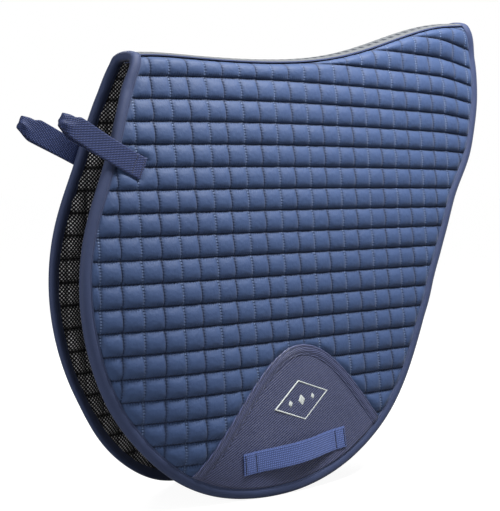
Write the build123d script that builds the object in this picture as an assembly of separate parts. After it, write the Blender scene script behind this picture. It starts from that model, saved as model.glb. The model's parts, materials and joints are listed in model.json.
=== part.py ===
from build123d import *
import math
import os

# Saddle pad: two quilted panels joined along a curved spine, hanging as an arch.
# Millimetres. +X runs to the tail, +Z up, -Y is the near (left) side of the horse.
# The origin is on the centre plane, level with the lowest edge of the panels.

# --- panel build-up, measured inwards from the outer face -------------------
SHELL = 1.5                     # woven cotton outer shell
CORE = 5.8                      # open-cell foam wadding
LINING = 1.8                    # spacer-mesh lining
PLY_GAP = 0.2                   # clearance between soft layers
CORE_IN = SHELL + PLY_GAP
LINING_IN = CORE_IN + CORE + PLY_GAP
PANEL = LINING_IN + LINING

# --- fold line: each panel bends about it, just below the spine -------------
FOLD_MID = (25.0, 494.0)        # x, z of a point on the fold line
FOLD_SLOPE = 0.12
FOLD_HALF = 25.0                # half width of the arch at the fold line
FOLD_GAP = 4.2                  # relief on each side of the fold line
FOLD_SPAN = 600.0
FOOT = -300.0                   # well below the pad

# --- how a panel leaves the centre plane ------------------------------------
SHOULDER = 4.0                  # quick bulge just below the fold
SHOULDER_RUN = 30.0
FLARE = 0.093                   # steady outward slope of the panel
EDGE_SHOULDER = 6.0             # the same bulge, along the front edge
EDGE_SHOULDER_RUN = 40.0
EDGE_KICK = 10.0                # the lower front corner stands a little wider
EDGE_KICK_START = 330.0
EDGE_KICK_RUN = 90.0
TURN_IN_RUN = 160.0             # how far back the front edge's inward curl reaches
CURL_X = -310.0                 # parabola close to the front edge, for the curl
CURL_Z = 254.0
CURL_R = 500.0
OVERRUN = 20.0                  # the formulas stop changing this far past the edges

# --- the fitted panel face: its extent and its grid --------------------------
FACE_X = (-345.0, 369.0)
FACE_ABOVE = 12.0
FACE_DEEP = 570.0
FACE_COLUMNS = 12
FACE_ROWS = 10

# --- side outline of the whole pad (x, z), outer edge of the binding --------
FRONT_EDGE = [(-234, 496), (-250, 461), (-278, 380), (-302, 316), (-311, 254), (-301, 181), (-269, 109)]
BOTTOM_EDGE = [(-209, 41), (-148, 9), (-72, 0.1), (47, 23), (130, 79)]
REAR_EDGE = [(186, 164), (243, 278), (312, 397), (338, 480), (340, 530)]
REAR_CORNER = [(337, 556), (318, 573)]
OUTLINE_TOP = 640.0
OUTLINE_LEAN = 60.0
OUTLINE_STEPS = 40

# --- spine line (x, z): lower edge of the spine tape ------------------------
SPINE_LINE = [(-262, 491), (-210, 498), (-100, 499), (-17, 502), (78, 514), (182, 542), (260, 564), (350, 575)]
SPINE_RISE = 6.5                # crown of the spine above the tape's edge
SPINE_HALF = 18.0               # half width of the arch at the tape's edge
SPINE_SHRINK = 0.7              # how fast inner layers close in at that height
BASE_LEAN = 0.4
TAPE = 1.0
TAPE_FIT = 0.15
LINING_TAPE_HALF = 9.0
SEAM_GAP = 0.1

# --- edge binding -----------------------------------------------------------
BIND_WIDTH = 14.5
BIND = 1.0
BIND_FIT = 0.1

# --- girth patch, its loop and its emblem -----------------------------------
PATCH_EDGE = [(-190, 28), (-129, 95), (-76, 147), (-42, 167), (-20, 170), (4, 165), (36, 145), (74, 106), (112, 60)]
PATCH_FOOT = [(112, -40), (-190, -40)]
PATCH = 1.1
LAY = 0.2                       # clearance under anything that lies on a face
WEBBING = 1.6
WEBBING_WIDTH = 25.0
GIRTH_LOOP_CENTRE = (-38.5, 47.5)
GIRTH_LOOP_LENGTH = 160.0
GIRTH_LOOP_TILT = 4.3
GIRTH_LOOP_SEWN = 17.0          # length sewn down at each end
GIRTH_LOOP_STAND_OFF = 8.0
GIRTH_LOOP_FIT = 0.6            # clearance between the loop's sewn ends and the patch
RIBBON_OVERHANG = 4.0           # the face it is cut from runs on past its ends
RIBBON_STEPS = 14
RIBBON_ACROSS = (-16.0, -5.0, 5.0, 16.0)
TACK = 0.5
TACK_WIDTH = 1.6
TACK_INSET = 2.0
EMBLEM_CENTRE = (-26.0, 105.0)
EMBLEM_TILT = 9.0
EMBLEM_HALF = (44.0, 24.0)
EMBLEM_BAND = 2.0
EMBLEM_MOTIFS = (-18.0, 0.0, 18.0)
EMBLEM_MOTIF_HALF = (6.0, 7.5)
EMBLEM = 0.5

# --- billet loop: one webbing strap, folded double, sewn down at its rear ---
BILLET_START = (-234.0, 375.0)
BILLET_ANGLE = 24.4
BILLET_SEWN = 12.0
BILLET_HINGE = 14.0
BILLET_FREE = 16.0
BILLET_SPLIT = 48.0             # the two plies part here
BILLET_CROTCH = 4.0             # the hollow starts this far beyond
BILLET_SWELL_AT = 70.0
BILLET_SWELL = 0.75             # share of the full bulge there, outside
BILLET_SWELL_IN = 0.72          # and inside
BILLET_BULGE_AT = 90.0
BILLET_BULGE = 9.0              # half thickness of the open end
BILLET_LENGTH = 111.0
BILLET_OUTWARD = 7.5            # degrees the free end points away from the panel
BILLET_STACK = 2 * WEBBING
BILLET_SEAT = 0.5

REACH = 200.0                   # half length of the cutting prisms


def fold_height(x):
    return FOLD_MID[1] + (x - FOLD_MID[0]) * FOLD_SLOPE


def smooth(t):
    t = min(max(t, 0.0), 1.0)
    return t * t * (3 - 2 * t)


def half_width(x, z):
    """Distance of a panel's outer face from the centre plane."""
    drop = max((fold_height(x) - z) / math.hypot(1, FOLD_SLOPE), -OVERRUN)
    middle = FOLD_HALF + SHOULDER * (1 - math.exp(-drop / SHOULDER_RUN)) + FLARE * drop
    edge = FOLD_HALF + EDGE_SHOULDER * (1 - math.exp(-max(drop, 0) / EDGE_SHOULDER_RUN))
    edge += EDGE_KICK * smooth((drop - EDGE_KICK_START) / EDGE_KICK_RUN)
    from_edge = max(x - CURL_X - (z - CURL_Z) ** 2 / CURL_R, -OVERRUN)
    return middle - (middle - edge) * max(0.0, 1 - from_edge / TURN_IN_RUN) ** 2


def panel_face():
    """Outer face of the near panel as one smooth surface."""
    rows = []
    for i in range(FACE_COLUMNS):
        x = FACE_X[0] + i * (FACE_X[1] - FACE_X[0]) / (FACE_COLUMNS - 1)
        column = []
        for j in range(FACE_ROWS):
            z = fold_height(x) + FACE_ABOVE - j * FACE_DEEP / (FACE_ROWS - 1)
            column.append((x, -half_width(x, z), z))
        rows.append(column)
    return Face.make_surface_from_array_of_points(rows, tol=0.02, min_deg=3, max_deg=3)


NEAR_FACE = panel_face()


def sheet(inset, thickness):
    """A sheet that follows the near panel, from inset to inset + thickness."""
    start = NEAR_FACE.moved(Location((0, inset, 0)))
    return Solid.extrude(start, Vector(0, thickness, 0))


def at(points):
    """(x, z) pairs as points in the XZ plane."""
    return [(x, 0, z) for x, z in points]


def through(face):
    """A face in the XZ plane, as a solid right through the pad."""
    return extrude(face, amount=REACH, dir=(0, 1, 0), both=True)


def outline_prism(inset):
    """The pad's side outline, moved inwards by inset, as a solid through the pad.

    Above the spine the outline runs on past the crest, so that only the front,
    bottom and rear edges cut anything.
    """
    edge = Spline(*at(FRONT_EDGE + BOTTOM_EDGE + REAR_EDGE + REAR_CORNER))
    if inset:
        edge = Spline(*[inwards(edge, i / OUTLINE_STEPS, inset) for i in range(OUTLINE_STEPS + 1)])
    first = edge @ 0
    last = edge @ 1
    peak = [(last.X, last.Z), (last.X - OUTLINE_LEAN, OUTLINE_TOP), (first.X, OUTLINE_TOP), (first.X, first.Z)]
    return through(make_face([edge] + Polyline(*at(peak)).edges()))


def inwards(edge, t, inset):
    """The point at t on the outline, moved towards the middle of the panel."""
    point = edge @ t
    heading = edge % t
    return (point.X - heading.Z * inset, 0, point.Z + heading.X * inset)


def fold_side(gap, far_z):
    """Everything from the fold line (moved by gap) to the height far_z."""
    left = (-FOLD_SPAN, fold_height(-FOLD_SPAN) + gap)
    right = (FOLD_SPAN, fold_height(FOLD_SPAN) + gap)
    corners = [left, right, (FOLD_SPAN, far_z), (-FOLD_SPAN, far_z)]
    return through(make_face(Polyline(*at(corners), close=True)))


FULL = outline_prism(0)
POCKET = outline_prism(BIND)
TRIMMED = outline_prism(BIND + BIND_FIT)
INSIDE_BINDING = outline_prism(BIND_WIDTH)
BELOW = fold_side(-FOLD_GAP, FOOT)


# --- flap: the part of a panel below the fold line ---------------------------

def flap_layer(inset, thickness):
    return sheet(inset, thickness) & TRIMMED & BELOW


def flap_binding():
    """U-shaped tape around the front, bottom and rear edges of a panel."""
    wrap = sheet(-BIND - BIND_FIT, PANEL + 2 * (BIND + BIND_FIT)) & FULL & BELOW
    pocket = sheet(-BIND_FIT, PANEL + 2 * BIND_FIT) & POCKET
    return wrap - INSIDE_BINDING - pocket


# --- crest: the arch over the spine -------------------------------------------

def crest_curve(x, z, inset, mid):
    """One side of the arch at x, from the fold line up to the crown."""
    base = (x, -(FOLD_HALF - inset), fold_height(x) + FOLD_GAP)
    bend = (x, -(SPINE_HALF - SPINE_SHRINK * inset), z - SPINE_SHRINK * inset)
    crown = (x, -mid, z + SPINE_RISE - inset)
    lean = (0, BASE_LEAN * (bend[1] - base[1]), bend[2] - base[2])
    return Spline(base, bend, crown, tangents=[lean, (0, 1, 0)])


def crest_layer(inset, thickness, mid=0.0):
    """Near half of one layer of the arch, along the whole spine."""
    sections = []
    for x, z in SPINE_LINE:
        outer = crest_curve(x, z, inset, mid)
        inner = crest_curve(x, z, inset + thickness, mid)
        ends = [Line(outer @ 0, inner @ 0), Line(outer @ 1, inner @ 1)]
        sections.append(make_face([outer, inner] + ends))
    return loft(sections)


def both_sides(near):
    return near + mirror(near, about=Plane.XZ)


def crest_panel(inset, thickness):
    return crest_layer(inset, thickness, SEAM_GAP / 2) & TRIMMED


def arch_bindings():
    """The two lengths of binding that cross the arch: front, then rear."""
    wrap = crest_layer(-BIND - BIND_FIT, PANEL + 2 * (BIND + BIND_FIT)) & FULL
    pocket = crest_layer(-BIND_FIT, PANEL + 2 * BIND_FIT) & POCKET
    near = wrap - INSIDE_BINDING - pocket
    pieces = both_sides(near).solids().sort_by(Axis.X)
    return pieces[0], pieces[-1]


def spine_strip(inset, thickness, half):
    """A tape along the spine, between the two arch bindings."""
    band = Box(4 * FOLD_SPAN, 2 * half, 4 * FOLD_SPAN)
    return both_sides(crest_layer(inset, thickness)) & band & outline_prism(BIND_WIDTH + BIND_FIT)


# --- pieces that lie on the girth patch ---------------------------------------

def girth_patch():
    top = Spline(*at(PATCH_EDGE))
    foot = Polyline(*at([PATCH_EDGE[-1]] + PATCH_FOOT + [PATCH_EDGE[0]]))
    patch = through(make_face([top] + foot.edges()))
    return sheet(-LAY - PATCH, PATCH) & patch & outline_prism(BIND_WIDTH + BIND_FIT)


def on_loop(u, v):
    """x, z of a point u along the girth loop and v across it."""
    tilt = math.radians(GIRTH_LOOP_TILT)
    x = GIRTH_LOOP_CENTRE[0] + u * math.cos(tilt) - v * math.sin(tilt)
    z = GIRTH_LOOP_CENTRE[1] + u * math.sin(tilt) + v * math.cos(tilt)
    return x, z


def loop_rise(u):
    """How far the girth loop stands off the patch, u from its middle."""
    free = GIRTH_LOOP_LENGTH / 2 - GIRTH_LOOP_SEWN
    return GIRTH_LOOP_STAND_OFF * max(0.0, 1 - (u / free) ** 2) ** 2


def ribbon(outward, thickness, u_range, width):
    """A strip that follows the girth loop, outward from the patch's face."""
    face_half = GIRTH_LOOP_LENGTH / 2 + RIBBON_OVERHANG
    rows = []
    for i in range(RIBBON_STEPS + 1):
        u = -face_half + 2 * i * face_half / RIBBON_STEPS
        column = []
        for v in RIBBON_ACROSS:
            x, z = on_loop(u, v)
            y = half_width(x, z) + LAY + PATCH + outward + thickness + loop_rise(u)
            column.append((x, -y, z))
        rows.append(column)
    face = Face.make_surface_from_array_of_points(rows, tol=0.02, min_deg=3, max_deg=3)
    corners = [on_loop(u, v) for u, v in (
        (u_range[0], -width / 2), (u_range[1], -width / 2),
        (u_range[1], width / 2), (u_range[0], width / 2))]
    plan = through(make_face(Polyline(*at(corners), close=True)))
    return Solid.extrude(face, Vector(0, thickness, 0)) & plan


def girth_loop():
    half = GIRTH_LOOP_LENGTH / 2
    return ribbon(GIRTH_LOOP_FIT, WEBBING, (-half, half), WEBBING_WIDTH)


def girth_loop_tacks():
    """Rows of stitching across both ends of the girth loop."""
    half = GIRTH_LOOP_LENGTH / 2
    tacks = []
    for middle in (-half + TACK_INSET, -half + GIRTH_LOOP_SEWN, half - GIRTH_LOOP_SEWN, half - TACK_INSET):
        span = (middle - TACK_WIDTH / 2, middle + TACK_WIDTH / 2)
        tack = ribbon(GIRTH_LOOP_FIT + WEBBING + LAY, TACK, span, WEBBING_WIDTH - 2 * TACK_INSET)
        tacks += tack.solids()
    return Compound(children=tacks)


def lozenge(centre_u, half_u, half_v):
    """A diamond-shaped prism, in the emblem's own tilted directions."""
    tilt = math.radians(EMBLEM_TILT)
    corners = []
    for u, v in ((half_u, 0), (0, half_v), (-half_u, 0), (0, -half_v)):
        along = centre_u + u
        x = EMBLEM_CENTRE[0] + along * math.cos(tilt) - v * math.sin(tilt)
        z = EMBLEM_CENTRE[1] + along * math.sin(tilt) + v * math.cos(tilt)
        corners.append((x, z))
    return through(make_face(Polyline(*at(corners), close=True)))


def patch_emblem():
    """Plain stitched lozenge frame with three small lozenges inside."""
    face = sheet(-2 * LAY - PATCH - EMBLEM, EMBLEM)
    shrink = EMBLEM_BAND / EMBLEM_HALF[1]
    inner = [half * (1 - shrink) for half in EMBLEM_HALF]
    solids = (face & lozenge(0, *EMBLEM_HALF)) - lozenge(0, *inner)
    pieces = list(solids.solids())
    for middle in EMBLEM_MOTIFS:
        size = 1 - abs(middle) / EMBLEM_HALF[0]
        motif = face & lozenge(middle, EMBLEM_MOTIF_HALF[0] * size, EMBLEM_MOTIF_HALF[1] * size)
        pieces += motif.solids()
    return Compound(children=pieces)


# --- billet loop ---------------------------------------------------------------

def billet_plane():
    """At the sewn end: x along the strap, y out of the panel, z across the strap."""
    x, z = BILLET_START
    step = 1.0
    slope_x = (half_width(x + step, z) - half_width(x - step, z)) / (2 * step)
    slope_z = (half_width(x, z + step) - half_width(x, z - step)) / (2 * step)
    out = Vector(-slope_x, -1, -slope_z).normalized()
    angle = math.radians(BILLET_ANGLE)
    across = Vector(math.sin(angle), 0, math.cos(angle))
    across = (across - out * across.dot(out)).normalized()
    along = out.cross(across)
    return Plane(origin=(x, -half_width(x, z), z), x_dir=along, z_dir=across)


BILLET_PLANE = billet_plane()
BILLET_AXIS = (BILLET_HINGE, BILLET_SEAT + WEBBING)


def billet_tab():
    """The sewn-down end of the strap."""
    middle = (BILLET_SEWN / 2, BILLET_SEAT + WEBBING)
    return extruded_across(Pos(*middle) * Rectangle(BILLET_SEWN, BILLET_STACK), BILLET_PLANE)


def extruded_across(profile, plane):
    return extrude(plane * profile, amount=WEBBING_WIDTH / 2, both=True)


def billet_loop():
    """The free part: two plies that part into an open, rounded end."""
    low = BILLET_SEAT
    high = BILLET_SEAT + BILLET_STACK
    mid = BILLET_SEAT + WEBBING
    bulge = BILLET_BULGE
    outer = Spline(
        (BILLET_SPLIT, high),
        (BILLET_SWELL_AT, mid + bulge * BILLET_SWELL),
        (BILLET_BULGE_AT, mid + bulge),
        (BILLET_LENGTH, mid),
        (BILLET_BULGE_AT, mid - bulge),
        (BILLET_SWELL_AT, mid - bulge * BILLET_SWELL),
        (BILLET_SPLIT, low),
        tangents=[(1, 0), (-1, 0)],
    )
    hollow = bulge - WEBBING
    crotch = (BILLET_SPLIT + BILLET_CROTCH, mid)
    hole = Spline(
        crotch,
        (BILLET_SWELL_AT, mid + hollow * BILLET_SWELL_IN),
        (BILLET_BULGE_AT, mid + hollow),
        (BILLET_LENGTH - WEBBING, mid),
        (BILLET_BULGE_AT, mid - hollow),
        (BILLET_SWELL_AT, mid - hollow * BILLET_SWELL_IN),
        crotch,
    )
    back = Polyline((BILLET_SPLIT, low), (BILLET_FREE, low), (BILLET_FREE, high), (BILLET_SPLIT, high))
    profile = make_face([outer] + back.edges()) - make_face(hole)
    hinge = Pos(*BILLET_AXIS) * Rot(0, 0, BILLET_OUTWARD) * Pos(-BILLET_AXIS[0], -BILLET_AXIS[1])
    return extruded_across(hinge * profile, BILLET_PLANE)


def billet_tab_tacks():
    """Two rows of stitching across the sewn-down end."""
    tacks = []
    for middle in (TACK_INSET, BILLET_SEWN - TACK_INSET):
        height = BILLET_SEAT + BILLET_STACK + LAY + TACK / 2
        row = Pos(middle, height) * Rectangle(TACK_WIDTH, TACK)
        solid = extrude(BILLET_PLANE * row, amount=WEBBING_WIDTH / 2 - TACK_INSET, both=True)
        tacks += solid.solids()
    return Compound(children=tacks)


# --- write one file per named piece ---------------------------------------------

def near_pieces():
    """Every piece that the pad has once on each side, as built on the near side."""
    return {
        "outer_shell": flap_layer(0, SHELL),
        "foam_core": flap_layer(CORE_IN, CORE),
        "mesh_lining": flap_layer(LINING_IN, LINING),
        "edge_binding": flap_binding(),
        "girth_patch": girth_patch(),
        "girth_loop": girth_loop(),
        "girth_loop_bar_tacks": girth_loop_tacks(),
        "patch_emblem": patch_emblem(),
        "billet_loop_tab": billet_tab(),
        "billet_loop_bar_tacks": billet_tab_tacks(),
        "billet_loop": billet_loop(),
        "outer_shell_crest": crest_panel(0, SHELL),
        "foam_core_crest": crest_panel(CORE_IN, CORE),
        "mesh_lining_crest": crest_panel(LINING_IN, LINING),
    }


def all_pieces():
    pieces = {}
    for name, near in near_pieces().items():
        pieces["near_" + name] = near
        pieces["off_" + name] = mirror(near, about=Plane.XZ)
    pieces["front_arch_binding"], pieces["rear_arch_binding"] = arch_bindings()
    pieces["spine_tape"] = spine_strip(-TAPE_FIT - TAPE, TAPE, SPINE_HALF)
    pieces["spine_lining_tape"] = spine_strip(PANEL + TAPE_FIT, TAPE, LINING_TAPE_HALF)
    return pieces


os.makedirs("parts", exist_ok=True)
for name, piece in all_pieces().items():
    export_step(piece, f"parts/{name}.step")
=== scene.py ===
import json
import math

import bmesh
import bpy
import numpy as np
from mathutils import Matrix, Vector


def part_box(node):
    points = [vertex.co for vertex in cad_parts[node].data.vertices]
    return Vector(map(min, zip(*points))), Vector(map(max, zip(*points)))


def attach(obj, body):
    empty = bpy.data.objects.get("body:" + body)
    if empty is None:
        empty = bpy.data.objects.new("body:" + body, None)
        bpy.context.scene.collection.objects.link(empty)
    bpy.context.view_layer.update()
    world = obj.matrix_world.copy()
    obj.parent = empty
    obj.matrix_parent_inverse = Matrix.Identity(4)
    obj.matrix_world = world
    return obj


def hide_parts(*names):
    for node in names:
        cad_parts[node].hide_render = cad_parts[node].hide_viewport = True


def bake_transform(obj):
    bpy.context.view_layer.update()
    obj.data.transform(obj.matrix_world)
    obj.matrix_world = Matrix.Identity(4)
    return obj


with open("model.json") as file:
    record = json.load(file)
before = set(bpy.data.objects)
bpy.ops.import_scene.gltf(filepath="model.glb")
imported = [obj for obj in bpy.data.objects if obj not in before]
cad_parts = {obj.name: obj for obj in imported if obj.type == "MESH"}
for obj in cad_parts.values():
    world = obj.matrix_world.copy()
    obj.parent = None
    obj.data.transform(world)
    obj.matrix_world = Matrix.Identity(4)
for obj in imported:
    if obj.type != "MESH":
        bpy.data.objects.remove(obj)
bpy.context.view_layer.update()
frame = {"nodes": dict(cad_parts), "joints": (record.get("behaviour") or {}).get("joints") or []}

# Saddle pad. Shapes are worked out in millimetres on the CAD part's own surfaces,
# in the row frame, and turned into metres when a mesh is made. Everything is built
# for the near side (-Y) and mirrored for the off side.

MM = 0.001

# --- the panel surface, as in the CAD part ---
FOLD_HALF = 25.0
FOLD_GAP = 4.2
SHOULDER = 4.0
SHOULDER_RUN = 30.0
FLARE = 0.093
EDGE_SHOULDER = 8.5  # a little wider than the CAD part, as worn in
EDGE_SHOULDER_RUN = 40.0
EDGE_KICK = 10.0
EDGE_KICK_START = 330.0
EDGE_KICK_RUN = 90.0
TURN_IN_RUN = 160.0
CURL_X = -310.0
CURL_Z = 254.0
CURL_R = 500.0
OVERRUN = 20.0
OUTLINE_PUSH = 0.6  # the cloth rim stands out past the CAD part's
REAR_PUSH = 3.6
REAR_FROM = 60.0
REAR_RUN = 160.0
CORNER_PUSH = 2.6
CORNER_FROM = np.array([180.0, 420.0])  # x and z
CORNER_RUN = 60.0
REAR_HOLLOW = 6.0  # the rear edge is a little hollow half way up
REAR_HOLLOW_Z = 345.0
REAR_HOLLOW_RUN = 40.0
SPINE_RISE = 4.2  # a little flatter than the CAD part's crown
SPINE_HALF = 18.0
SPINE_SHRINK = 0.7
BASE_LEAN = 0.4
CREST_RUN = 19.5  # along the arch, from the tape's edge to the crown
CENTRE = np.array([20.0, 260.0])
TAPE_END_FIT = 8.0

# --- quilting ---
ROW_TOP = 506.4  # height of seam row 0
ROW_PITCH = 25.4
DROOP = 7.0  # the upper rows sink towards both ends
DROOP_REAR = 0.7
REAR_DIP = 12.0  # and they turn down more sharply at the rear corner
COLUMN_ZERO = -241.0
COLUMN_PITCH = 24.9
COLUMN_SPREAD = 0.6 / 480.0
ROWS = (-4, 21)  # the first, and the one it stops before
COLUMNS = (-4, 24)
PUFF = 4.9
SEAM_DEPTH = 1.8
PRESSED = 0.5  # the shell's depth where a patch or a tab lies on it
FLAT_RUN = 9.0  # the quilting flattens towards the binding
CELL_ROW = (0, 0.03, 0.07, 0.13, 0.22, 0.34, 0.48, 0.62, 0.75, 0.86, 0.93, 0.97)
CELL_COLUMN = (0, 0.04, 0.09, 0.17, 0.3, 0.5, 0.7, 0.83, 0.91, 0.96)
SHELL = 1.3
LINING = 1.4
LINING_DEPTH = 8.2  # of the lining's seams
LINING_PUFF = 3.8
RIM = 6.6  # the panel is squeezed this thin in the binding
RIM_RUN = 14.0

# --- edge binding ---
BIND_WIDTH = 11.0
BIND_SKIN = 0.8
BIND_STEP = 3.0
TAPE_LIFT = 1.4  # the binding goes over the ends of the spine tape
BIND_SEWN = 9.3  # from the rim to the stitch line
BIND_SECTION = (
    (11.0, 1.7), (10.6, 0.95), (9.9, 0.85), (9.3, 1.15), (8.6, 0.6), (7.0, 0.1), (5.0, -0.15),
    (3.0, 0.1), (1.4, 0.9), (0.4, 2.2), (0.0, 3.9), (0.4, 5.5), (1.4, 6.7), (3.0, 7.4), (5.0, 7.6),
    (7.0, 7.5), (8.6, 7.2), (9.3, 6.8), (9.9, 7.0), (10.6, 6.9), (11.0, 6.2),
)

rng = np.random.default_rng(7)


# === reading the CAD ===

def joint(name):
    return next(j for j in frame["joints"] if j["name"] == name)


def node_points(name):
    mesh = frame["nodes"][name].data
    points = np.zeros(len(mesh.vertices) * 3)
    mesh.vertices.foreach_get("co", points)
    return points.reshape(-1, 3) / MM


def box_centre(node):
    low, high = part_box(node)
    return (np.array(low) + np.array(high)) / 2 / MM


def unit(vector):
    return vector / np.linalg.norm(vector, axis=-1, keepdims=True)


FOLD = joint("near_flap_fold")
FOLD_POINT = np.array(FOLD["pos_m"]) / MM
FOLD_SLOPE = FOLD["axis"][2] / FOLD["axis"][0]


def tape_edge():
    """The lower edge of the spine tape on the near side: its ends and a curve through it."""
    points = node_points("spine_tape")
    points = points[points[:, 1] < -SPINE_HALF + 0.1]
    x, z = points[:, 0], points[:, 2]
    curve = np.polynomial.Polynomial.fit(x, z, 7)
    return x.min() + TAPE_END_FIT, x.max() - TAPE_END_FIT, curve


TAPE_FROM, TAPE_TO, TAPE_CURVE = tape_edge()
TAPE_SLOPE = TAPE_CURVE.deriv()


def tape_height(x):
    within = np.clip(x, TAPE_FROM, TAPE_TO)
    return TAPE_CURVE(within) + TAPE_SLOPE(within) * (x - within) - 0.3


# === the panel's surface ===
# A point of the pad is given by x, by q and by its inset. On the flap q is the height;
# past the edge of the spine tape q runs on round the arch to the crown. The inset is
# the depth below the outer face.

def smooth(t):
    t = np.clip(t, 0.0, 1.0)
    return t * t * (3 - 2 * t)


def fold_height(x):
    return FOLD_POINT[2] + (x - FOLD_POINT[0]) * FOLD_SLOPE


def half_width(x, z):
    drop = np.maximum((fold_height(x) - z) / math.hypot(1, FOLD_SLOPE), -OVERRUN)
    middle = FOLD_HALF + SHOULDER * (1 - np.exp(-drop / SHOULDER_RUN)) + FLARE * drop
    edge = FOLD_HALF + EDGE_SHOULDER * (1 - np.exp(-np.maximum(drop, 0) / EDGE_SHOULDER_RUN))
    edge = edge + EDGE_KICK * smooth((drop - EDGE_KICK_START) / EDGE_KICK_RUN)
    from_edge = np.maximum(x - CURL_X - (z - CURL_Z) ** 2 / CURL_R, -OVERRUN)
    curl = np.maximum(0.0, 1 - from_edge / TURN_IN_RUN) ** 2
    return middle - (middle - edge) * curl


def pair(a, b):
    return np.stack(np.broadcast_arrays(a, b), axis=-1)


def hermite(start, end, start_slope, end_slope, run, t):
    t = t[..., None]
    run = run[..., None]
    a = (2 * t ** 3 - 3 * t ** 2 + 1) * start
    b = (t ** 3 - 2 * t ** 2 + t) * run * start_slope
    c = (3 * t ** 2 - 2 * t ** 3) * end
    d = (t ** 3 - t ** 2) * run * end_slope
    return a + b + c + d


def arch(x, inset):
    """Half width and height of the arch at x: its three points, slopes and lengths."""
    z = tape_height(x)
    base = pair(FOLD_HALF - inset, fold_height(x) + FOLD_GAP)
    bend = pair(SPINE_HALF - SPINE_SHRINK * inset, z - SPINE_SHRINK * inset)
    crown = pair(0 * x, z + SPINE_RISE - inset)
    first = bend - base
    second = crown - bend
    run = np.linalg.norm(first, axis=-1)
    over = np.linalg.norm(second, axis=-1)
    base_slope = unit(first * np.array([BASE_LEAN, 1.0]))
    crown_slope = pair(-1.0 + 0 * x, 0 * x)
    pull = 3 * (first / run[..., None] ** 2 + second / over[..., None] ** 2)
    pull = pull - base_slope / run[..., None] - crown_slope / over[..., None]
    bend_slope = pull / (2 / run + 2 / over)[..., None]
    return base, bend, crown, base_slope, bend_slope, crown_slope, run, over


def up_the_side(x, q):
    """Where height q is reached on the lower part of the arch, from 0 to 1."""
    base, bend, _, base_slope, bend_slope, _, run, _ = arch(x, 0 * x)
    low = np.zeros_like(q)
    high = np.ones_like(q)
    for _ in range(18):
        t = (low + high) / 2
        above = hermite(base, bend, base_slope, bend_slope, run, t)[..., 1] > q
        high = np.where(above, t, high)
        low = np.where(above, low, t)
    return (low + high) / 2


def place(x, q, inset):
    """The point at x and q, at a depth below the outer face, on the near side."""
    x, q, inset = [np.array(a, float) for a in np.broadcast_arrays(x, q, inset)]
    base, bend, crown, base_slope, bend_slope, crown_slope, run, over = arch(x, inset)
    side = hermite(base, bend, base_slope, bend_slope, run, up_the_side(x, q))
    below = np.minimum(q - fold_height(x) - FOLD_GAP, 0)
    side = side + base_slope * (below / base_slope[..., 1])[..., None]
    past = np.clip((q - tape_height(x)) / CREST_RUN, 0, 1)
    top = hermite(bend, crown, bend_slope, crown_slope, over, past)
    crest = np.where((past > 0)[..., None], top, side)
    flap = pair(half_width(x, q) - inset, q)
    share = smooth((q - fold_height(x) + FOLD_GAP) / (2 * FOLD_GAP))[..., None]
    both = flap * (1 - share) + crest * share
    return np.stack([x, -both[..., 0], both[..., 1]], axis=-1)


def outward(x, q, inset):
    """Unit vectors straight out of the panel."""
    return unit(place(x, q, np.array(inset) - 1.0) - place(x, q, inset))


def check_against_cad():
    """The formulas above must give the CAD part's outer shell."""
    points = node_points("near_outer_shell")
    depth = half_width(points[:, 0], points[:, 2]) + points[:, 1]
    if depth.min() < -2.0 or depth.max() > 6.0:
        raise RuntimeError(f"the panel formula is off by {depth.min():.1f} to {depth.max():.1f} mm")


check_against_cad()


# === the pad's outline ===

def rim_points(node, centre, facing_out, endwise=0.0):
    """x and z of the vertices of a node's narrow faces that look away from a centre."""
    mesh = frame["nodes"][node].data
    found = []
    for face in mesh.polygons:
        middle = np.array([face.center.x, face.center.z]) / MM - centre
        facing = face.normal.x * middle[0] + face.normal.z * middle[1]
        outer = facing > facing_out * np.linalg.norm(middle) and abs(face.normal.x) >= endwise
        if outer and abs(face.normal.y) < 0.1:
            for v in face.vertices:
                co = mesh.vertices[v].co
                found.append((co.x / MM, co.z / MM))
    return np.array(found)


def turn(points):
    """Angle round the centre of the panel, from straight up, towards the front."""
    rel = points - CENTRE
    return np.arctan2(-rel[..., 0], rel[..., 1]) % (2 * math.pi)


def lengths_along(line):
    """Distance of each point of a line from its start."""
    return np.concatenate([[0], np.cumsum(np.linalg.norm(np.diff(line, axis=0), axis=1))])


def read_off(at, along, table):
    """Rows of a table between those it has, at given distances along it."""
    return np.stack([np.interp(at, along, column) for column in table.T], axis=-1)


def resample(line, step):
    """The same line with evenly spaced points."""
    lengths = lengths_along(line)
    count = max(2, int(round(lengths[-1] / step)) + 1)
    return read_off(np.linspace(0, lengths[-1], count), lengths, line)


def soften(line, times):
    for _ in range(times):
        line = np.concatenate([line[:1], (line[:-2] + 2 * line[1:-1] + line[2:]) / 4, line[-1:]])
    return line


def line_normals(line):
    """Unit vectors to the left of the line's direction."""
    ahead = np.gradient(line, axis=0)
    return unit(np.stack([-ahead[:, 1], ahead[:, 0]], axis=1))


def beside(line, sideways, distances):
    """x and q of a line's points, each moved sideways by a row of distances."""
    return [line[:, None, i] + sideways[:, None, i] * distances for i in (0, 1)]


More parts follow.
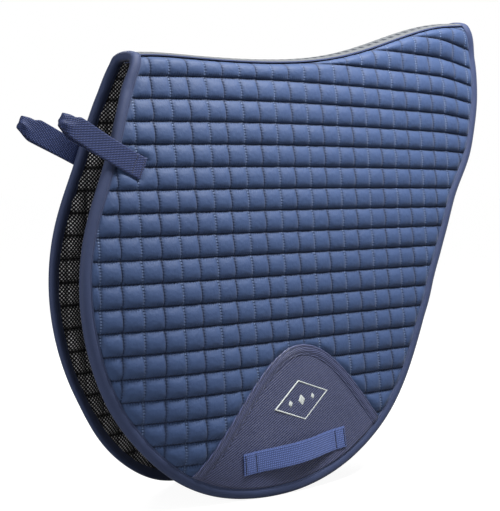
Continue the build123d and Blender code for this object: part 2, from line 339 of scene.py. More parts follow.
def outline():
    """The binding's outer edge in x and q, from the crown at the front to the crown at the rear."""
    points = np.concatenate([
        rim_points("near_edge_binding", CENTRE, 0.4),
        rim_points("front_arch_binding", CENTRE, 0.4, endwise=0.6),
        rim_points("rear_arch_binding", CENTRE, 0.4, endwise=0.6)])
    points = points[points[:, 1] < tape_height(points[:, 0]) - 1.0]
    angle = turn(points)
    order = np.argsort(angle)
    angle, points = angle[order], points[order]
    radius = np.linalg.norm(points - CENTRE, axis=1)
    window = math.radians(1.5)
    outermost = [r >= radius[np.abs(angle - a) < window].max() - 1.5 for a, r in zip(angle, radius)]
    steps = np.arange(angle[0], angle[-1], math.radians(0.4))
    radius = np.interp(steps, angle[outermost], radius[outermost])
    line = CENTRE + radius[:, None] * np.stack([-np.sin(steps), np.cos(steps)], axis=1)
    front_top = np.array([[line[0, 0], tape_height(line[0, 0]) + CREST_RUN]])
    rear_x = line[-1, 0] - 4.0
    rear_top = np.array([[rear_x, tape_height(rear_x) + CREST_RUN]])
    line = resample(np.concatenate([front_top, line, rear_top]), BIND_STEP)
    rounded = soften(line, 70)
    past = smooth((line - CORNER_FROM) / CORNER_RUN)
    corner = past[:, :1] * past[:, 1:]
    line = soften(line, 12) * (1 - corner) + rounded * corner
    rear = smooth((line[:, 0] - REAR_FROM) / REAR_RUN)
    push = OUTLINE_PUSH + REAR_PUSH * rear + CORNER_PUSH * corner[:, 0]
    push = push - REAR_HOLLOW * rear * np.exp(-((line[:, 1] - REAR_HOLLOW_Z) / REAR_HOLLOW_RUN) ** 2)
    return line - line_normals(line) * push[:, None]


OUTLINE = outline()
OUTLINE_LENGTH = lengths_along(OUTLINE)
OUTLINE_IN = line_normals(OUTLINE)  # the outline runs anticlockwise, so left is inwards
OUTLINE_TURN = turn(OUTLINE)
OUTLINE_RADIUS = np.linalg.norm(OUTLINE - CENTRE, axis=1)


def distance_to(line, x, q):
    """Distance of each point from a line."""
    flat = np.stack([x.ravel(), q.ravel()], axis=1)
    start, span = line[:-1], np.diff(line, axis=0)
    size = (span ** 2).sum(1)
    nearest = np.empty(len(flat))
    for first in range(0, len(flat), 4000):
        rel = flat[first:first + 4000, None, :] - start[None]
        t = np.clip((rel * span).sum(2) / size, 0, 1)
        gap = rel - t[..., None] * span
        nearest[first:first + 4000] = np.sqrt((gap ** 2).sum(2).min(1))
    return nearest.reshape(x.shape)


def inside_by(x, q):
    """Distance inside the outline, negative outside it."""
    points = np.stack([x, q], axis=-1)
    radius = np.interp(turn(points), OUTLINE_TURN, OUTLINE_RADIUS)
    sign = np.where(np.linalg.norm(points - CENTRE, axis=-1) < radius, 1.0, -1.0)
    return sign * distance_to(OUTLINE[::2], x, q)


# === making meshes ===

def closed_sheet(outer, inner, uv, keep=None):
    """Points, faces and UVs of a sheet with an outer and an inner skin and its edges closed."""
    rows, columns = outer.shape[:2]
    if keep is None:
        keep = np.ones((rows, columns), bool)
    index = np.arange(rows * columns).reshape(rows, columns)
    corners = [index[:-1, :-1], index[1:, :-1], index[1:, 1:], index[:-1, 1:]]
    whole = keep[:-1, :-1] & keep[1:, :-1] & keep[1:, 1:] & keep[:-1, 1:]
    quads = np.stack([c[whole] for c in corners], axis=1)
    count = rows * columns
    start = quads.ravel()
    end = np.roll(quads, -1, axis=1).ravel()
    alone = ~np.isin(start * count + end, end * count + start)
    start, end = start[alone], end[alone]
    walls = np.stack([end, start, start + count, end + count], axis=1)
    faces = np.concatenate([quads, quads[:, ::-1] + count, walls])
    points = np.concatenate([outer.reshape(-1, 3), inner.reshape(-1, 3)])
    uv = np.concatenate([uv.reshape(-1, 2), uv.reshape(-1, 2)])
    used, faces = np.unique(faces, return_inverse=True)
    return points[used], faces.reshape(-1, 4), uv[used]


def joined(parts):
    """Several (points, faces, uv) as one."""
    points, faces, uvs, base = [], [], [], 0
    for part in parts:
        points.append(part[0])
        faces.append(part[1] + base)
        uvs.append(part[2])
        base += len(part[0])
    return np.concatenate(points), np.concatenate(faces), np.concatenate(uvs)


def add_object(name, data):
    made = bpy.data.objects.new(name, data)
    bpy.context.scene.collection.objects.link(made)
    return made


SHARP = math.radians(50.0)  # edges that turn more than this look sharp


def make_piece(name, part, material):
    """A mesh object from (points, faces, uv), with its normals outwards."""
    points, faces, uv = part
    mesh = bpy.data.meshes.new(name)
    mesh.from_pydata((points * MM).tolist(), [], faces.tolist())
    layer = mesh.uv_layers.new(name="grid")
    corner = np.zeros(len(mesh.loops), np.int32)
    mesh.loops.foreach_get("vertex_index", corner)
    layer.data.foreach_set("uv", uv[corner].astype(np.float32).ravel())
    made = bmesh.new()
    made.from_mesh(mesh)
    bmesh.ops.recalc_face_normals(made, faces=made.faces)
    made.to_mesh(mesh)
    made.free()
    mesh.shade_smooth()
    mesh.set_sharp_from_angle(angle=SHARP)
    mesh.materials.append(material)
    return add_object(name, mesh)


def mirrored(part):
    points, faces, uv = part
    return points * np.array([1, -1, 1]), faces[:, ::-1], uv


def add_piece(name, part, material, stands_for, hang, side):
    """A piece that stands for some CAD nodes. hang is called with the piece and its side."""
    piece = make_piece(name, part, material)
    hang(piece, side)
    if stands_for:
        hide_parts(*stands_for)


def both_sides(name, part, material, stands_for, hang):
    """Near and off copies of a piece."""
    for side, shape in (("near", part), ("off", mirrored(part))):
        nodes = [f"{side}_{node}" for node in stands_for]
        add_piece(f"{side}_{name}", shape, material, nodes, hang, side)


def hang_on_spine(piece, _side):
    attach(piece, "spine")


def hang_from_spine(piece, side):
    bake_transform(piece)


def hang_on_flap(piece, side):
    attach(piece, side + "_flap")


# === materials ===

class Finish:
    """A node material, built up from a Principled shader."""

    def __init__(self, name, roughness, sheen, specular=0.3):
        self.material = bpy.data.materials.new(name)
        self.material.use_nodes = True
        self.nodes = self.material.node_tree.nodes
        self.links = self.material.node_tree.links
        self.shader = self.nodes["Principled BSDF"]
        self.shader.inputs["Roughness"].default_value = roughness
        self.shader.inputs["Sheen Weight"].default_value = sheen
        self.shader.inputs["Sheen Roughness"].default_value = 0.4
        self.shader.inputs["Specular IOR Level"].default_value = specular
        self.heights = []

    def put(self, socket, value):
        if isinstance(value, bpy.types.NodeSocket):
            self.links.new(value, socket)
        else:
            socket.default_value = value

    def math(self, operation, *values):
        node = self.nodes.new("ShaderNodeMath")
        node.operation = operation
        for socket, value in zip(node.inputs, values):
            self.put(socket, value)
        return node.outputs[0]

    def times(self, one, other):
        return self.math("MULTIPLY", one, other)

    def grid(self):
        """The piece's own two coordinates."""
        uv = self.nodes.new("ShaderNodeUVMap")
        uv.uv_map = "grid"
        split = self.nodes.new("ShaderNodeSeparateXYZ")
        self.links.new(uv.outputs["UV"], split.inputs[0])
        return split.outputs[0], split.outputs[1]

    def place(self):
        """Position in the row frame, in millimetres."""
        coords = self.nodes.new("ShaderNodeTexCoord")
        scale = self.nodes.new("ShaderNodeVectorMath")
        scale.operation = "SCALE"
        self.links.new(coords.outputs["Object"], scale.inputs[0])
        scale.inputs["Scale"].default_value = 1 / MM
        return scale.outputs[0]

    def noise(self, size, detail=3.0):
        """Noise from 0 to 1, with lumps of a size in millimetres."""
        node = self.nodes.new("ShaderNodeTexNoise")
        self.links.new(self.place(), node.inputs["Vector"])
        node.inputs["Scale"].default_value = 1 / size
        node.inputs["Detail"].default_value = detail
        return node.outputs["Fac"]

    def spread(self, value, low, high):
        """0 to 1 turned into low to high."""
        return self.math("MULTIPLY_ADD", value, high - low, low)

    def step(self, value, low, high):
        """0 below low, 1 above high, smooth between; low may be the greater."""
        node = self.nodes.new("ShaderNodeMapRange")
        node.interpolation_type = "SMOOTHSTEP"
        self.put(node.inputs["Value"], value)
        node.inputs["From Min"].default_value = min(low, high)
        node.inputs["From Max"].default_value = max(low, high)
        node.inputs["To Min"].default_value = float(low > high)
        node.inputs["To Max"].default_value = float(low <= high)
        return node.outputs["Result"]

    def ripple(self, value, pitch):
        """A wave from 0 to 1 along a coordinate."""
        turned = self.times(value, 2 * math.pi / pitch)
        return self.math("MULTIPLY_ADD", self.math("SINE", turned), 0.5, 0.5)

    def to_line(self, value, pitch):
        """Distance from the nearest of the lines that lie at every whole pitch."""
        share = self.math("DIVIDE", value, pitch)
        nearest = self.math("ROUND", share)
        return self.times(self.math("ABSOLUTE", self.math("SUBTRACT", share, nearest)), pitch)

    def mix(self, factor, one, other):
        node = self.nodes.new("ShaderNodeMix")
        node.data_type = "RGBA"
        self.put(node.inputs[0], factor)
        for socket, value in ((node.inputs[6], one), (node.inputs[7], other)):
            self.put(socket, value if isinstance(value, bpy.types.NodeSocket) else (*value, 1.0))
        return node.outputs[2]

    def mottled(self, size, one, other):
        """Two colours mixed in lumps of a size in millimetres."""
        return self.mix(self.noise(size), one, other)

    def colour(self, value):
        self.put(self.shader.inputs["Base Color"], value)

    def slanted(self, along, across, a, b):
        """A coordinate turned in the plane of the cloth."""
        return self.math("ADD", self.times(along, a), self.times(across, b))

    def shade(self, colour, amount):
        """The colour times a factor that varies."""
        node = self.nodes.new("ShaderNodeVectorMath")
        node.operation = "SCALE"
        self.put(node.inputs[0], colour)
        self.put(node.inputs["Scale"], amount)
        return node.outputs[0]

    def relief(self, height, millimetres):
        self.heights.append(self.times(height, millimetres * MM))

    def done(self):
        total = self.heights[0]
        for height in self.heights[1:]:
            total = self.math("ADD", total, height)
        bump = self.nodes.new("ShaderNodeBump")
        bump.inputs["Distance"].default_value = 1.0
        self.links.new(total, bump.inputs["Height"])
        self.links.new(bump.outputs["Normal"], self.shader.inputs["Normal"])
        return self.material


def quilted_cotton():
    """Navy cotton; its grid coordinates count the quilting's columns and rows."""
    f = Finish("quilted_cotton", 0.62, 0.12)
    column, row = f.grid()
    x = f.times(column, COLUMN_PITCH)
    z = f.times(row, ROW_PITCH)
    base = f.mottled(60.0, (0.029, 0.054, 0.133), (0.034, 0.064, 0.151))
    weave = f.times(f.ripple(x, 0.9), f.ripple(z, 0.8))
    base = f.shade(base, f.spread(f.math("ADD", weave, f.noise(1.6)), 0.80, 1.06))
    across = f.to_line(x, COLUMN_PITCH)
    along = f.to_line(z, ROW_PITCH)
    down = f.math("FRACT", row)
    # Painted shade: the colour darkens along the row seams, and at the column seams towards the top of each
    # cell.
    notch = f.times(f.step(across, 3.4, 0.0), f.spread(f.step(down, 0.85, 0.05), 0.34, 0.74))
    shadow = f.times(f.spread(f.step(along, 0.0, 2.0), 0.2, 1.0), f.math("SUBTRACT", 1.0, notch))
    base = f.shade(base, f.spread(shadow, 0.40, 1.04))
    dash_down = f.step(f.to_line(z, 3.2), 1.15, 0.85)
    dash_along = f.step(f.to_line(x, 3.2), 1.15, 0.85)
    column_thread = f.times(f.step(across, 0.8, 0.45), dash_down)
    row_thread = f.times(f.step(along, 0.7, 0.3), f.spread(dash_along, 0.45, 1.0))
    pale = f.step(f.to_line(column, 2.0), 0.9, 0.7)
    dark_thread = (0.006, 0.015, 0.050)
    every_other = f.mix(pale, dark_thread, (0.10, 0.15, 0.28))
    base = f.mix(f.times(column_thread, 0.9), base, every_other)
    base = f.mix(f.times(row_thread, 0.85), base, dark_thread)
    f.colour(base)
    f.relief(weave, 0.06)
    f.relief(f.noise(5.0), 0.6)
    pucker = f.times(f.step(along, 6.0, 0.0), f.ripple(f.math("ADD", x, f.noise(9.0)), 3.2))
    f.relief(pucker, 0.45)
    side_pucker = f.times(f.step(across, 3.0, 0.0), f.ripple(z, 3.2))
    f.relief(side_pucker, 0.4)
    return f.done()


MESH_PITCH = 4.5  # of its two interleaved grids of openings


def spacer_mesh():
    """Black mesh with rows of small pale openings."""
    f = Finish("spacer_mesh", 0.55, 0.1)
    column, row = f.grid()
    x = f.times(column, COLUMN_PITCH)
    z = f.times(row, ROW_PITCH)

    def to_hole(shift):
        """The square of the distance from the nearest opening of one grid."""
        squares = [f.math("POWER", f.to_line(f.math("ADD", at, shift), MESH_PITCH), 2.0) for at in (x, z)]
        return f.math("ADD", *squares)

    hole = f.math("MINIMUM", to_hole(0.0), to_hole(MESH_PITCH / 2))
    open_ = f.step(hole, 0.95, 0.50)
    shade = f.spread(f.noise(14.0), 0.15, 1.2)
    across = f.to_line(x, COLUMN_PITCH)
    along = f.to_line(z, ROW_PITCH)
    # Painted shade: the pale openings fade to black towards the quilting seams.
    crease = f.times(f.step(along, 0.2, 3.6), f.spread(f.step(across, 0.2, 2.6), 0.4, 1.0))
    base = f.mix(f.times(open_, crease), (0.004, 0.004, 0.006), f.shade((0.95, 0.95, 0.97), shade))
    f.colour(base)
    f.relief(f.step(hole, 0.3, 1.3), 0.35)
    f.relief(f.noise(4.0), 0.3)
    return f.done()


def binding_tape():
    f = Finish("binding_tape", 0.66, 0.12)
    rib = f.ripple(f.grid()[0], 0.85)
    base = f.mottled(40.0, (0.027, 0.039, 0.094), (0.034, 0.049, 0.112))
    f.colour(f.shade(base, f.spread(f.math("ADD", rib, f.noise(1.5)), 0.86, 1.04)))
    f.relief(rib, 0.05)
    f.relief(f.noise(6.0), 0.35)
    return f.done()


def thread(name, colour):
    f = Finish(name, 0.5, 0.2, 0.4)
    along, across = f.grid()
    twist = f.ripple(f.math("ADD", along, f.times(across, 1.4)), 0.55)
    f.colour(f.shade(colour, f.spread(twist, 0.7, 1.15)))
    f.relief(twist, 0.06)
    return f.done()


LEAN_ALONG = 0.88  # cosine and sine of the slant of the twill and the straps
LEAN_ACROSS = 0.47
WEBBING_PITCH = 2.5
CHECK_PITCH = 14.0  # of the squares on the spine tape


def twill():
    f = Finish("patch_twill", 0.45, 0.12, 0.35)
    along, across = f.grid()
    line = f.step(f.ripple(f.slanted(along, across, -LEAN_ACROSS, LEAN_ALONG), 2.6), 0.1, 0.8)
    fine = f.ripple(f.slanted(along, across, LEAN_ALONG, LEAN_ACROSS), 1.1)
    base = f.mottled(45.0, (0.046, 0.055, 0.121), (0.061, 0.071, 0.149))
    lit = f.math("ADD", f.times(line, 0.80), f.times(fine, 0.14))
    f.colour(f.shade(base, f.math("ADD", lit, 0.46)))
    f.relief(line, 0.3)
    f.relief(f.noise(9.0), 0.6)
    return f.done()


def waffle_webbing():
    f = Finish("girth_webbing", 0.6, 0.12)
    along, across = f.grid()
    square = f.times(f.ripple(along, WEBBING_PITCH), f.ripple(across, WEBBING_PITCH))
    base = f.mottled(30.0, (0.094, 0.142, 0.370), (0.115, 0.169, 0.423))
    f.colour(f.shade(base, f.spread(square, 0.55, 1.3)))
    f.relief(square, 0.3)
    f.relief(f.noise(1.2), 0.15)
    return f.done()


def coarse_webbing():
    f = Finish("billet_webbing", 0.6, 0.12)
    along, across = f.grid()
    row = f.slanted(along, across, LEAN_ACROSS, LEAN_ALONG)
    dash = f.slanted(along, across, LEAN_ALONG, -LEAN_ACROSS)
    knot = f.times(f.ripple(row, WEBBING_PITCH), f.ripple(dash, 2.0))
    base = f.mottled(30.0, (0.018, 0.031, 0.104), (0.024, 0.040, 0.129))
    f.colour(f.shade(base, f.spread(f.math("POWER", knot, 1.5), 0.55, 2.1)))
    f.relief(knot, 0.35)
    f.relief(f.noise(1.2), 0.15)
    return f.done()


def spine_webbing():
    """Grey tape with a plain check, and a navy selvedge along both edges."""
    f = Finish("spine_webbing", 0.8, 0.0, 0.15)
    along, across = f.grid()
    between = [f.step(f.to_line(at, CHECK_PITCH), 3.2, 3.8) for at in (along, across)]
    square = f.times(*between)
    base = f.mix(square, (0.110, 0.117, 0.125), (0.032, 0.036, 0.044))
    edge = f.step(f.math("ABSOLUTE", across), 15.6, 16.1)
    base = f.mix(edge, base, (0.03, 0.04, 0.09))
    rib = f.ripple(along, 1.0)
    f.colour(f.shade(base, f.spread(f.math("ADD", rib, f.noise(1.5)), 0.88, 1.03)))
    f.relief(rib, 0.08)
    f.relief(f.noise(8.0), 0.3)
    return f.done()


def wadding():
    f = Finish("foam_wadding", 0.9, 0.1)
    cell = f.noise(1.3, 5.0)
    f.colour(f.mix(cell, (0.50, 0.47, 0.38), (0.66, 0.63, 0.54)))
    f.relief(cell, 0.6)
    return f.done()


COTTON = quilted_cotton()
SPACER = spacer_mesh()
BINDING = binding_tape()
NAVY_THREAD = thread("navy_thread", (0.012, 0.019, 0.058))
PALE_THREAD = thread("pale_thread", (0.60, 0.64, 0.62))
TWILL = twill()
WAFFLE = waffle_webbing()
WEBBING_CLOTH = coarse_webbing()
SPINE_CLOTH = spine_webbing()
FOAM = wadding()


# === pieces on the panel ===

# --- girth patch outline and the other footprints that the quilting lies flat under

PATCH_CUT = 16.0  # the CAD part's patch is cut off this near the rim


def patch_edge():
    """The free edge of the girth patch, as x and z, from front to rear."""
    low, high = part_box("near_girth_patch")
    foot = np.array([(low.x + high.x) / 2, low.z]) / MM
    points = np.unique(np.round(rim_points("near_girth_patch", foot, 0.3), 2), axis=0)
    deep = inside_by(points[:, 0], points[:, 1])
    points = points[deep > PATCH_CUT]
    angle = np.arctan2(-(points[:, 0] - foot[0]), points[:, 1] - foot[1])
    points = points[np.argsort(-angle)]
    points = resample(points, 4.0)
    head = points[0] + (points[0] - points[3]) * 2.4
    tail = points[-1] + (points[-1] - points[-4]) * 2.4
    return resample(soften(np.concatenate([[head], points, [tail]]), 3), 3.0)


PATCH_EDGE = patch_edge()


def outside_patch(x, q):
    """Distance outside the girth patch, 0 within it."""
    gap = distance_to(PATCH_EDGE[::2], x, q)
    edge_height = np.interp(x, PATCH_EDGE[:, 0], PATCH_EDGE[:, 1])
    within = (q < edge_height) & (x > PATCH_EDGE[0, 0]) & (x < PATCH_EDGE[-1, 0])
    return np.where(within, 0.0, gap)


SWING = joint("near_billet_swing")
HINGE = np.array(SWING["pos_m"]) / MM
ACROSS = unit(np.array(SWING["axis"]))
TAB_MIDDLE = box_centre("near_billet_loop_tab")
STRAP_MIDDLE = box_centre("near_billet_loop")
STRAP_WIDTH = 25.0
TAB_HINGE = 14.0  # from the sewn end to the hinge


def square_to(vector, axis):
    return unit(vector - axis * vector.dot(axis))


TAB_ALONG = square_to(HINGE - TAB_MIDDLE, ACROSS)
STRAP_ALONG = square_to(STRAP_MIDDLE - HINGE, ACROSS)


def out_of_panel(along):
    normal = np.cross(along, ACROSS)
    return normal if normal[1] < 0 else -normal


def off_tab(x, q):
    """Distance from the sewn end of the billet loop, 0 under it."""
    plan_along = unit(TAB_ALONG[[0, 2]])
    plan_across = unit(ACROSS[[0, 2]])
    rel = np.stack([x - HINGE[0], q - HINGE[2]], axis=-1)
    along = rel @ plan_along
    across = np.abs(rel @ plan_across) - STRAP_WIDTH / 2
    beyond = np.maximum(-TAB_HINGE - along, along - 60.0)
    return np.hypot(np.maximum(across, 0), np.maximum(beyond, 0))


# --- quilting ---

def cell_grid(row_steps, column_steps):
    """Fractional rows and columns of the quilting grid, as two arrays."""
    rows, columns = [(np.arange(*span)[:, None] + np.array(steps)).ravel()
                     for span, steps in ((ROWS, row_steps), (COLUMNS, column_steps))]
    return np.meshgrid(rows, columns, indexing="ij")


def seam_grid(rows, columns):
    """x and height of a point given in rows and columns."""
    x = COLUMN_ZERO + columns * (COLUMN_PITCH + COLUMN_SPREAD * 240.0)
    sag = DROOP * np.clip(1 - (rows - 2) / 6.0, 0, 1.2)
    sag = sag * np.where(x > 0, DROOP_REAR, 1.0) * (x / 290.0) ** 2
    sag = sag + REAR_DIP * np.clip(1 - (rows + 1) / 7.0, 0, 1) * smooth((x - 250.0) / 110.0)
    z = ROW_TOP - ROW_PITCH * rows - sag
    x = COLUMN_ZERO + columns * (COLUMN_PITCH + COLUMN_SPREAD * z)
    return x, z


def per_cell(rows, columns, low, high):
    """A random value for each cell of the quilting."""
    table = rng.uniform(low, high, (ROWS[1] - ROWS[0] + 1, COLUMNS[1] - COLUMNS[0] + 1))
    i = np.floor(rows).astype(int) - ROWS[0]
    j = np.floor(columns).astype(int) - COLUMNS[0]
    return table[i, j]


def pillow(rows, columns):
    """Height of the quilting above its seams, from 0 to 1."""
    down = (rows - np.floor(rows)) ** 1.2
    along = columns - np.floor(columns)
    swell = 1 - np.abs(2 * down - 1) ** 3.0
    ridge = 1 - np.abs(2 * along - 1) ** 3.6
    crease = 0.72 - 0.22 * smooth(down * 1.6)
    return swell * (1 - crease * (1 - ridge)) * per_cell(rows, columns, 0.88, 1.06)


def stitch_groove(rows, columns):
    """Depth that the stitching pulls in, from 0 to 1."""
    to_row = np.abs(rows - np.round(rows)) * ROW_PITCH
    to_column = np.abs(columns - np.round(columns)) * COLUMN_PITCH
    return np.exp(-(to_row / 1.1) ** 2) + 0.55 * np.exp(-(to_column / 0.9) ** 2)


def panel_grid(row_steps, column_steps):
    """Rows and columns, x and q, and the depth inside the outline, of a panel layer's grid."""
    rows, columns = cell_grid(row_steps, column_steps)
    x, q = seam_grid(rows, columns)
    return rows, columns, x, q, inside_by(x, q)


def laid(x, q, outer_inset, inner_inset, uv, keep=None):
    """A sheet lying on the panel between two depths."""
    return closed_sheet(place(x, q, outer_inset), place(x, q, inner_inset), uv, keep)


def panel_layer(rows, columns, x, q, deep, outer_inset, inner_inset):
    """A panel layer, kept inside the binding's fold and up to the crown."""
    keep = (deep > 1.8) & (q < tape_height(x) + 0.97 * CREST_RUN)
    return laid(x, q, outer_inset, inner_inset, pair(columns, rows), keep)


def off_the_binding(deep):
    """How freely the quilting swells: 0 at the binding, 1 away from it."""
    return smooth((deep - BIND_WIDTH + 2.0) / FLAT_RUN)


def quilted_shell():
    rows, columns, x, q, deep = panel_grid(CELL_ROW, CELL_COLUMN)
    free = off_the_binding(deep) * smooth((tape_height(x) - q + 1.0) / 7.0)
    lift = PUFF * pillow(rows, columns) - 0.45 * stitch_groove(rows, columns)
    loose = smooth((outside_patch(x, q) - 0.3) / 4.5) * smooth(off_tab(x, q) / 6.0)
    level = SEAM_DEPTH + (PRESSED - SEAM_DEPTH) * smooth((deep - BIND_WIDTH) / 6.0)
    inset = level * (1 - loose) + (SEAM_DEPTH - free * lift) * loose
    return panel_layer(rows, columns, x, q, deep, inset, inset + SHELL)


def lining_depth(deep):
    """Depth of the lining's seams, less where the panel is squeezed towards the binding."""
    return RIM + (LINING_DEPTH - RIM) * smooth((deep - BIND_WIDTH + 2.0) / RIM_RUN)


def quilted_lining():
    rows, columns, x, q, deep = panel_grid(
        (0, 0.06, 0.18, 0.38, 0.62, 0.82, 0.94), (0, 0.06, 0.2, 0.5, 0.8, 0.94))
    free = off_the_binding(deep) * smooth((fold_height(x) - q - 2.0) / 14.0)
    lift = LINING_PUFF * pillow(rows, columns) - 0.4 * stitch_groove(rows, columns)
    inset = lining_depth(deep) + free * lift
    return panel_layer(rows, columns, x, q, deep, inset - LINING, inset)


UNDER_SHELL = 0.9  # clear of the shell's stitching
OVER_LINING = 0.4


def foam_layer():
    quarters = (0, 0.25, 0.5, 0.75)
    rows, columns, x, q, deep = panel_grid(quarters, quarters)
    outer_inset = SEAM_DEPTH + SHELL + UNDER_SHELL
    return panel_layer(rows, columns, x, q, deep, outer_inset, lining_depth(deep) - LINING - OVER_LINING)


both_sides("quilted_shell", quilted_shell(), COTTON,
           ["outer_shell", "outer_shell_crest"], hang_from_spine)
both_sides("spacer_lining", quilted_lining(), SPACER,
           ["mesh_lining", "mesh_lining_crest"], hang_from_spine)
both_sides("wadding", foam_layer(), FOAM,
           ["foam_core", "foam_core_crest"], hang_from_spine)


# --- edge binding ---

def section_skins():
    """The binding's section and its inner side, as (from the edge, inset) rows."""
    section = np.array(BIND_SECTION)
    ahead = unit(np.gradient(section, axis=0))
    side = np.stack([-ahead[:, 1], ahead[:, 0]], axis=1)
    return section, section + side * BIND_SKIN


def binding():
    outer_section, inner_section = section_skins()
    ripple = 0.25 * np.sin(OUTLINE_LENGTH / 23.0) + 0.2 * np.sin(OUTLINE_LENGTH / 9.0 + 1.0)
    skins = []
    for section in (outer_section, inner_section):
        from_edge = section[None, :, 0] * (1 + ripple[:, None] / BIND_WIDTH)
        x, q = beside(OUTLINE, OUTLINE_IN, from_edge)
        over_tape = smooth((q - tape_height(x) + 6.0) / 8.0) * (section[None, :, 1] < 3.0)
        skins.append(place(x, q, section[None, :, 1] - TAPE_LIFT * over_tape))
    uv = pair(OUTLINE_LENGTH[:, None], lengths_along(outer_section)[None])
    return closed_sheet(skins[0], skins[1], uv)


BINDING_PART = binding()
add_piece("near_edge_binding_tape", BINDING_PART, BINDING,
          ["near_edge_binding", "front_arch_binding"], hang_from_spine, "near")
add_piece("off_edge_binding_tape", mirrored(BINDING_PART), BINDING,
          ["off_edge_binding", "rear_arch_binding"], hang_from_spine, "off")


# --- stitching ---

# length of a stitch, gap to the next, and radius of the thread
BINDING_STITCH = (2.4, 0.8, 0.42)
HEM_STITCH = (2.3, 0.8, 0.38)
LOOP_STITCH = (2.2, 0.5, 0.45)
STRAP_STITCH = (2.2, 0.5, 0.42)


def stitches(points, normals, stitch):
    """A row of stitches along a line of points."""
    length, gap, radius = stitch
    lengths = lengths_along(points)
    starts = np.arange(gap, lengths[-1] - length, length + gap)
    stations = ((0.0, 0.35), (0.25, 1.0), (0.75, 1.0), (1.0, 0.35))
    ring = ((0.0, 1.0), (1.0, 0.25), (0.0, -0.6), (-1.0, 0.25))
    count = len(starts)
    heading = unit(read_off(starts + length, lengths, points) - read_off(starts, lengths, points))
    up = unit(read_off(starts + length / 2, lengths, normals))
    side = unit(np.cross(heading, up))
    rows = []
    for share, size in stations:
        middle = read_off(starts + length * share, lengths, points)
        for sideways, height in ring:
            rows.append(middle + (side * sideways + up * height) * radius * size)
    verts = np.stack(rows, axis=1)
    total = verts.shape[1]
    faces = [(0, 1, 2, 3), (12, 15, 14, 13)]
    for station in range(3):
        for corner in range(4):
            a = station * 4 + corner
            b = station * 4 + (corner + 1) % 4
            faces.append((a, a + 4, b + 4, b))
    faces = np.array(faces)[None] + np.arange(count)[:, None, None] * total
    uv = pair(starts[:, None] + np.repeat([0, 0.25, 0.75, 1.0], 4)[None] * length,
              np.tile([0, 0.3, 0.6, 0.3], 4)[None])
    return verts.reshape(-1, 3), faces.reshape(-1, 4), uv.reshape(-1, 2)


def sewn(x, q, inset, stitch, side=1):
    """A row of stitches lying on the panel at an inset, facing out or, with side -1, in."""
    return stitches(place(x, q, inset), outward(x, q, inset) * side, stitch)


BINDING_FACES = ((0.95, 1), (7.0, -1))  # inset of the stitches, and which way they face


def binding_stitches():
    """The stitch line near the binding's inner edge, on both faces."""
    x, q = (OUTLINE + OUTLINE_IN * BIND_SEWN).T
    return joined([sewn(x, q, inset, BINDING_STITCH, side) for inset, side in BINDING_FACES])


both_sides("binding_stitching", binding_stitches(), NAVY_THREAD, [], hang_from_spine)


# --- spine tape ---

LINING_TAPE_HALF = 9.0
TAPE_INTO_BINDING = 3.5  # the tape's ends run this far under the binding


def outline_x_at_crest(front):
    """Where the binding's inner edge crosses the tape, at the front or the rear."""
    half = len(OUTLINE) // 2
    part = OUTLINE[:half] if front else OUTLINE[half:]
    inner = part + (OUTLINE_IN[:half] if front else OUTLINE_IN[half:]) * (BIND_WIDTH - TAPE_INTO_BINDING)
    past = inner[:, 1] - tape_height(inner[:, 0])
    order = np.argsort(past)
    return lambda q_past: np.interp(q_past, past[order], inner[order, 0])


def tape_strip(half, outer_inset, inner_inset, edge_roll):
    """A tape over the crown; each across-row runs from one edge to the other."""
    front = outline_x_at_crest(True)
    rear = outline_x_at_crest(False)
    across = np.concatenate([np.linspace(-half, -half * 0.9, 4), np.linspace(-half * 0.8, half * 0.8, 13),
                             np.linspace(half * 0.9, half, 4)])
    share = np.linspace(0, 1, 150)
    past = (1 - np.abs(across) / SPINE_HALF) * CREST_RUN
    start = front(np.clip(past, 0, CREST_RUN))
    end = rear(np.clip(past, 0, CREST_RUN))
    x = start[None] + (end - start)[None] * share[:, None]
    q = tape_height(x) + past[None]
    roll = edge_roll * np.clip((np.abs(across) - half + 1.2) / 1.2, 0, 1) ** 2
    side = np.where(across > 0, -1.0, 1.0)[None, :, None] * np.array([0, 1, 0]) + np.array([1, 0, 1])
    outer = place(x, q, outer_inset + roll[None]) * side
    inner = place(x, q, inner_inset - roll[None] * 0.3) * side
    uv = pair(x, across[None])
    return closed_sheet(outer, inner, uv)


add_piece("spine_tape_woven", tape_strip(SPINE_HALF, -1.0, -0.1, 0.4), SPINE_CLOTH,
          ["spine_tape"], hang_on_spine, None)
add_piece("spine_lining_strip", tape_strip(LINING_TAPE_HALF, 9.7, 10.7, -0.3), BINDING,
          ["spine_lining_tape"], hang_on_spine, None)


# --- girth patch ---

TUCK = 7.0  # the patch ends this far from the rim, inside the binding
HEM = 13.0
HEM_STITCHED = (2.8, 10.3)  # from the patch's free edge
HEM_ACROSS = np.array([0, 0.15, 0.6, 1.4, 2.2, 2.8, 3.4, 5.0, 7.5, 9.6, 10.3, 11.0, 12.2, 12.8, 13.0])
HEM_HEIGHT = np.array([0.1, 0.7, 1.25, 1.6, 1.45, 1.25, 1.5, 1.85, 1.9, 1.6, 1.25, 1.5, 1.5, 1.2, 0.7])
HEM_STEP = 2.5
UNDER_PATCH = 1.85  # depth of the patch's underside


def tucked(inset, deep):
    """The patch's height, pressed down where it goes into the binding."""
    shown = smooth((deep - BIND_WIDTH + 1.5) / 4.0)
    return 1.75 + (inset - 1.75) * shown


def patch_hem():
    """The turned-in hem along the patch's free edge."""
    line = resample(PATCH_EDGE, HEM_STEP)
    x, q = beside(line, -line_normals(line), HEM_ACROSS[None])
    deep = inside_by(x, q)
    length = np.arange(len(line)) * HEM_STEP
    wobble = 1 + 0.07 * np.sin(length / 7.0)[:, None]
    uv = pair(-0.35 * length[:, None], 1.5 * HEM_ACROSS[None])
    return laid(x, q, tucked(0.2 - HEM_HEIGHT[None] * wobble, deep), UNDER_PATCH, uv, deep > TUCK)


